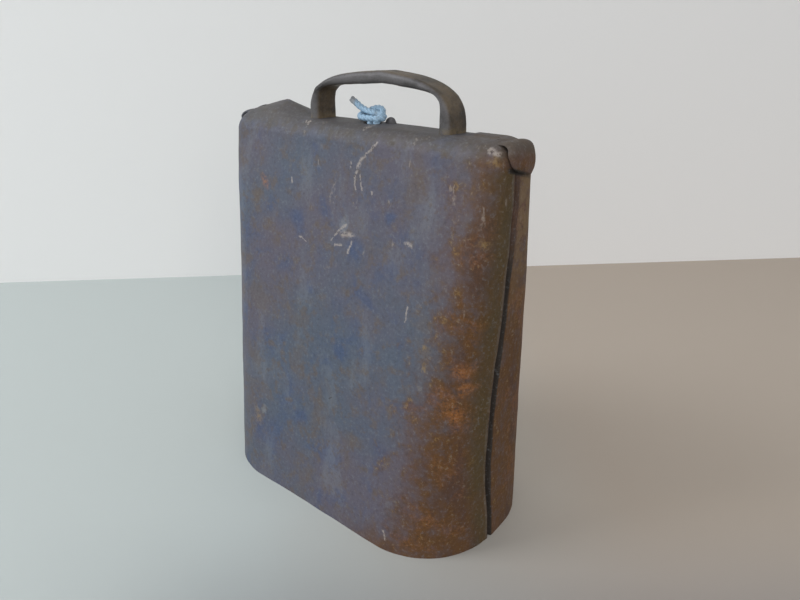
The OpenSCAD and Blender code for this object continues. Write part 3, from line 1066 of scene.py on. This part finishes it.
    # fine grain over everything, then scratches
    tone = b.mix(speck.step(0.52, 0.72) * 0.32, tone, p["pale"])
    tone = b.mix(speck.step(0.48, 0.3) * 0.3, tone, p["dark"])
    marks = scratchMask(b, wobbleX, wobbleZ) * speck.step(0.36, 0.54)
    tone = b.mix(marks * 0.75, tone, p["bare"])
    scuff = b.noise(130, 5, 0.7, b.make("ShaderNodeMapping", inputs={
        "Vector": b.place, "Rotation": (0, 0.7, 0), "Scale": (1, 1, 0.3)}))
    high = b.z.step(100 * mm, 160 * mm) * b.x.step(-60 * mm, -10 * mm) * front
    scuffs = scuff.step(0.6, 0.68) * high * mottle.step(0.45, 0.6)
    tone = b.mix(scuffs * 0.4, tone, p["bare"])
    rough = 0.52 + mottle * 0.2 + rust * 0.14 - marks * 0.12
    skin = b.bump(mottle * 0.5 + speck * 0.4 + grain * 0.15 + rust * speck * 0.5, 0.5 * mm, 0.5)
    return b.finish(Base_Color=tone, Roughness=rough, Metallic=0.0, Normal=skin, Specular_IOR_Level=0.35)


forged = {
    "dark": (0.028, 0.021, 0.014),
    "brown": (0.105, 0.074, 0.042),
    "worn": (0.1, 0.105, 0.125),
    "brass": (0.2, 0.15, 0.08),
}


def forgedIron():
    b = Bench("forgedIron")
    cloud = b.noise(70, 5, 0.6)
    mottle = b.noise(230, 5, 0.65)
    speck = b.noise(1000, 3, 0.7)
    tone = b.mix(cloud.step(0.36, 0.62), forged["dark"], forged["brown"])
    # lighter narrow faces of the strap above the crown: partly edge wear, partly a painted highlight
    edge = (b.y * b.y).step((5 * mm) ** 2, (6.6 * mm) ** 2) * b.z.step(crownTop - 4 * mm, crownTop)
    tone = b.mix(edge * cloud.step(0.25, 0.6) * 0.6, tone, forged["worn"])
    foot = b.z.step(crownTop + 3.4 * mm, crownTop + 0.4 * mm) * mottle.step(0.36, 0.56)
    tone = b.mix(foot * 0.5 * b.z.step(crownTop - 3 * mm, crownTop - 1 * mm), tone, forged["brass"])
    tone = b.mix(speck.step(0.5, 0.72) * 0.3, tone, forged["worn"])
    tone = b.mix(speck.step(0.46, 0.3) * 0.5, tone, forged["dark"])
    skin = b.bump(mottle * 0.6 + speck * 0.3, 0.5 * mm, 0.55)
    return b.finish(Base_Color=tone, Roughness=0.42 + mottle * 0.25, Metallic=0.2, Normal=skin)


def tarnishedBraze():
    b = Bench("tarnishedBraze")
    cloud = b.noise(120, 4, 0.6)
    tone = b.mix(cloud.step(0.35, 0.65), (0.2, 0.14, 0.06), (0.45, 0.33, 0.14))
    return b.finish(Base_Color=tone, Roughness=0.55 + cloud * 0.2, Metallic=0.7,
                    Normal=b.bump(cloud, 0.3 * mm, 0.5))


iron = forgedIron()
makeBell(patinaIron())
makeHandle(iron)
makeWashers(iron)
makeClapper(iron)
brazeFinish = tarnishedBraze()
for name in ("seam_braze_left", "seam_braze_right"):
    node = frame["nodes"][name]
    node.data.materials.clear()
    node.data.materials.append(brazeFinish)
print("pieces ready")


# ---- floor, wall and light

studio = {
    "floorLeft": (0.46, 0.49, 0.47),
    "floorRight": (0.4, 0.335, 0.275),
    "floorNearShade": (0.14, 0.14, 0.15),
    "wall": (0.81, 0.8, 0.785),
    "wallPlace": 348 * mm,      # from the middle of the bell to the wall
    "wallTurn": 44.7,           # degrees from +X to the foot of the wall
    "worldLight": (0.85, 0.9, 0.96),
    "worldStrength": 0.82,
    "window": 36,
    "fill": 10,
}


def plainPiece(name, corners, finish):
    mesh = bpy.data.meshes.new(name)
    mesh.from_pydata(corners, [], [(0, 1, 2, 3)])
    mesh.materials.append(finish)
    made = placed(name, mesh)


def floorPaint():
    b = Bench("floorPaint")
    cloud = b.noise(7, 4, 0.5)
    aside = b.x * 0.78 + b.y * 0.625 + (cloud - 0.5) * 0.1
    near = b.x * 0.625 - b.y * 0.78
    # greenish and lighter to the left, beige and darker to the right: partly the floor's own colour, partly
    # painted shade away from the window light
    tone = b.mix(aside.step(-0.08, 0.16), studio["floorLeft"], studio["floorRight"])
    # painted shade on the floor, darker towards the camera
    tone = b.mix(near.step(0.03, 0.17) * aside.step(-0.22, 0.0) * 0.8, tone, studio["floorNearShade"])
    return b.finish(Base_Color=tone, Roughness=0.75)


def wallPaint():
    # seen from the front only, so that it never hides the bell from behind
    b = Bench("wallPaint")
    paint = b.make("ShaderNodeBsdfDiffuse", inputs={"Color": (*studio["wall"], 1)})
    clear = b.make("ShaderNodeBsdfTransparent")
    behind = b.make("ShaderNodeNewGeometry", out="Backfacing")
    shader = b.make("ShaderNodeMixShader", inputs={0: behind, 1: paint, 2: clear})
    b.make("ShaderNodeOutputMaterial", inputs={"Surface": shader}, node=True)
    return b.material


def makeStage():
    reach = 6.0
    plainPiece("floor", [(-reach, -reach, 0), (reach, -reach, 0), (reach, reach, 0), (-reach, reach, 0)],
               floorPaint())
    turn = math.radians(studio["wallTurn"])
    along = Vector((math.cos(turn), math.sin(turn), 0))
    foot = Vector((-math.sin(turn), math.cos(turn), 0)) * studio["wallPlace"]
    up = Vector((0, 0, 2.5))
    plainPiece("wall", [foot - along * reach, foot + along * reach, foot + along * reach + up,
                        foot - along * reach + up], wallPaint())


def areaLight(name, place, target, size, power, colour):
    data = bpy.data.lights.new(name, "AREA")
    data.shape = "RECTANGLE"
    data.size, data.size_y = size
    data.energy = power
    data.color = colour
    lamp = placed(name, data)
    lamp.location = place
    lamp.rotation_euler = (Vector(target) - Vector(place)).to_track_quat("-Z", "Y").to_euler()


def makeLight():
    world = bpy.data.worlds.new("room")
    bpy.context.scene.world = world
    world.use_nodes = True
    sky = world.node_tree.nodes["Background"]
    sky.inputs[0].default_value = (*studio["worldLight"], 1)
    sky.inputs[1].default_value = studio["worldStrength"]
    areaLight("window", (-1.3, -0.9, 1.3), (0, 0, 0.1), (1.4, 1.1), studio["window"], (0.9, 0.95, 1.0))
    areaLight("fill", (1.2, -1.2, 0.9), (0, 0, 0.1), (1.2, 1.0), studio["fill"], (1.0, 0.94, 0.86))


makeStage()
makeLight()
bpy.context.scene.view_settings.view_transform = "Standard"
print("studio ready")
